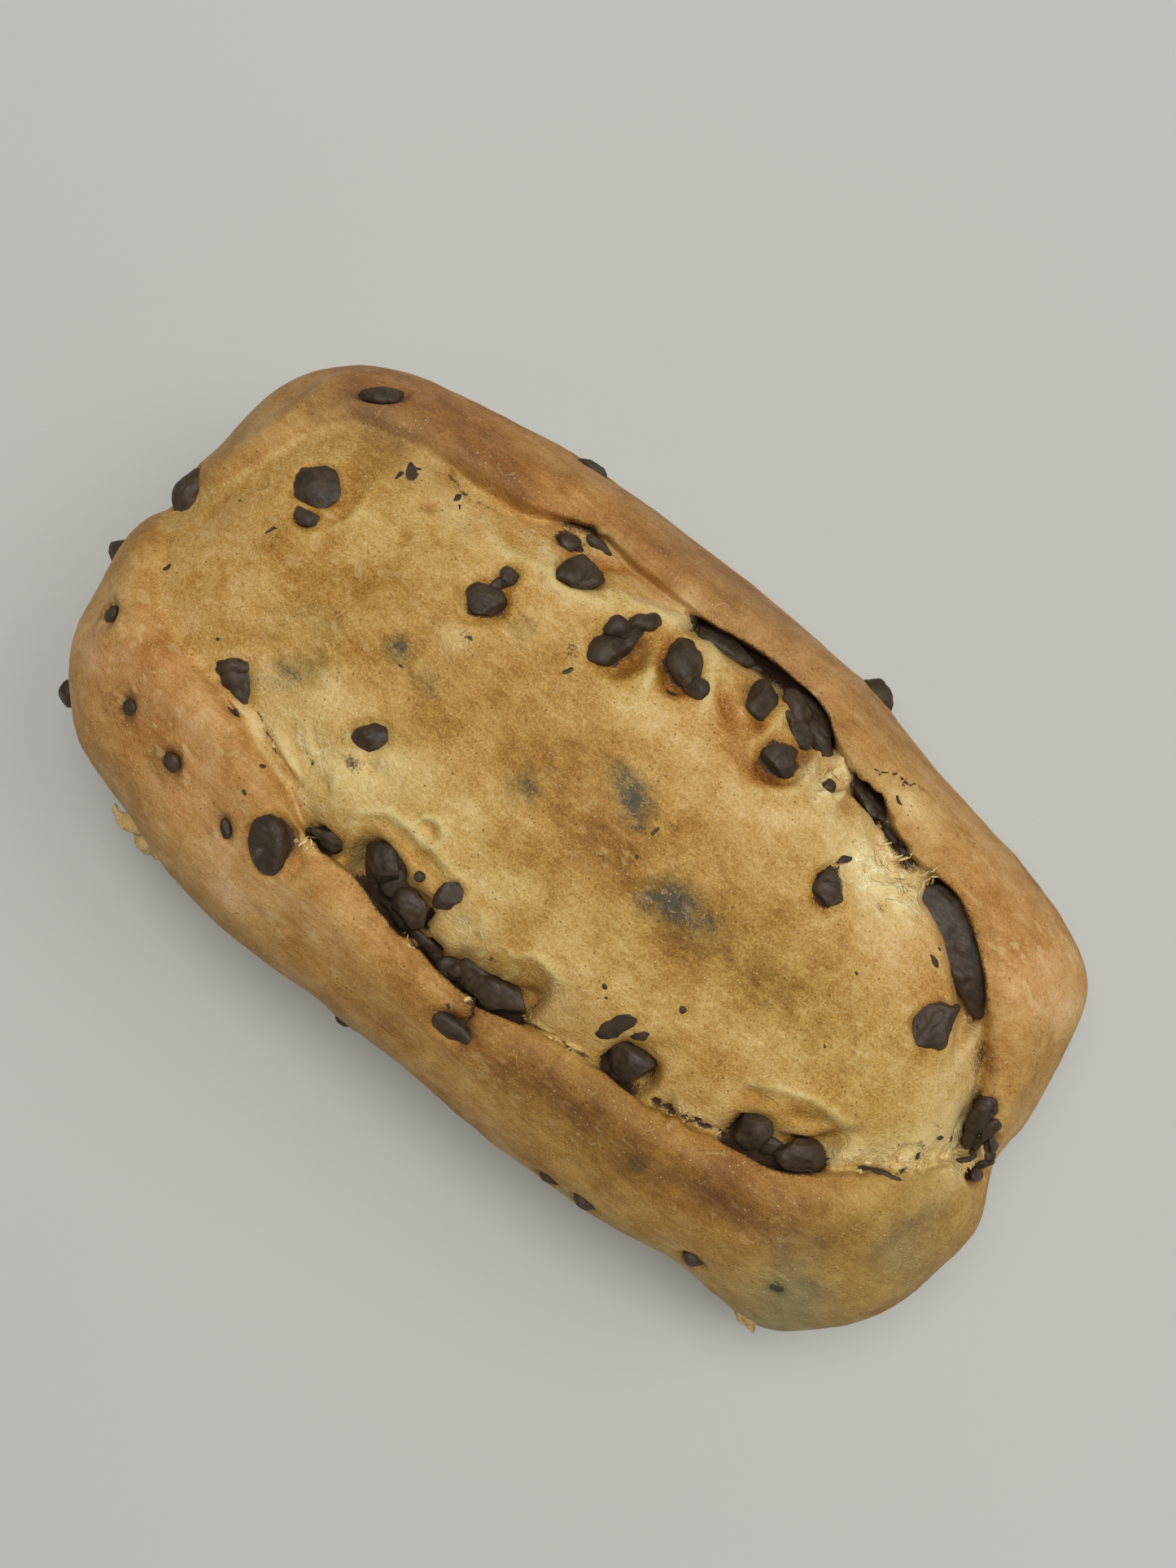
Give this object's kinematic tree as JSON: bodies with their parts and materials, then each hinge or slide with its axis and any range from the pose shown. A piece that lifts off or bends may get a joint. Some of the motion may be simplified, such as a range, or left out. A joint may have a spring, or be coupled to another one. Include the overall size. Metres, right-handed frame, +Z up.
{
  "type": "chocolate chip brioche",
  "caption": "Uncut oblong brioche loaf with a pale domed middle between two browned rolls, split along its seams, with melted chocolate chips set in the crust.",
  "frame": {"origin": "centre of the footprint, on the flat base", "axes": "+X along the loaf, +Y across it, +Z up from the base"},
  "size_m": [0.2385, 0.133, 0.088],
  "materials": {
    "crust": "matte",
    "chocolate": "satin"
  },
  "bodies": {
    "root": {"loaf": "crust", "chip_diamond": "chocolate", "chip_far_end_bit": "chocolate", "chip_far_end_horn": "chocolate", "chip_flank_1": "chocolate", "chip_flank_2": "chocolate", "chip_flank_3": "chocolate", "chip_flank_4": "chocolate", "chip_flank_5": "chocolate", "chip_flank_6": "chocolate", "chip_flank_7": "chocolate", "chip_flank_8": "chocolate", "chip_in_fold": "chocolate", "chip_in_torn_pit": "chocolate", "chip_left_large": "chocolate", "chip_left_large_bit": "chocolate", "chip_left_round": "chocolate", "chip_left_round_bit": "chocolate", "chip_left_sliver": "chocolate", "chip_low_rim_a": "chocolate", "chip_low_rim_b": "chocolate", "chip_low_rim_c": "chocolate", "chip_low_rim_d": "chocolate", "chip_right_horned": "chocolate", "chip_right_oval": "chocolate", "chip_rim_corner": "chocolate", "chip_rim_craggy": "chocolate", "chip_rim_dome": "chocolate", "chip_rim_notch": "chocolate", "chip_rim_ragged": "chocolate", "chip_roll_almond": "chocolate", "chip_roll_big_oval": "chocolate", "chip_roll_dash": "chocolate", "chip_roll_end_sliver": "chocolate", "chip_roll_sunk_oval": "chocolate", "chip_roll_sunk_round": "chocolate", "chip_seam_bead": "chocolate", "chip_seam_left": "chocolate", "chip_seam_middle": "chocolate", "chip_seam_pair_left": "chocolate", "chip_seam_pair_right": "chocolate", "chip_seam_right_long": "chocolate", "chip_seam_right_round": "chocolate", "chip_upper_block": "chocolate", "chip_upper_left": "chocolate", "chip_upper_middle": "chocolate", "melt_dimpled": "chocolate", "melt_far_end": "chocolate", "melt_long": "chocolate", "melt_pear": "chocolate", "melt_seam_gap": "chocolate", "melt_smeared": "chocolate", "melt_strand_bits": "chocolate", "melt_strand_seam": "chocolate", "melt_tailed": "chocolate", "melt_twin": "chocolate", "melt_upper_saddle": "chocolate", "melt_upper_seam": "chocolate", "melt_upper_seam_right": "chocolate"}
  },
  "joints": []
}
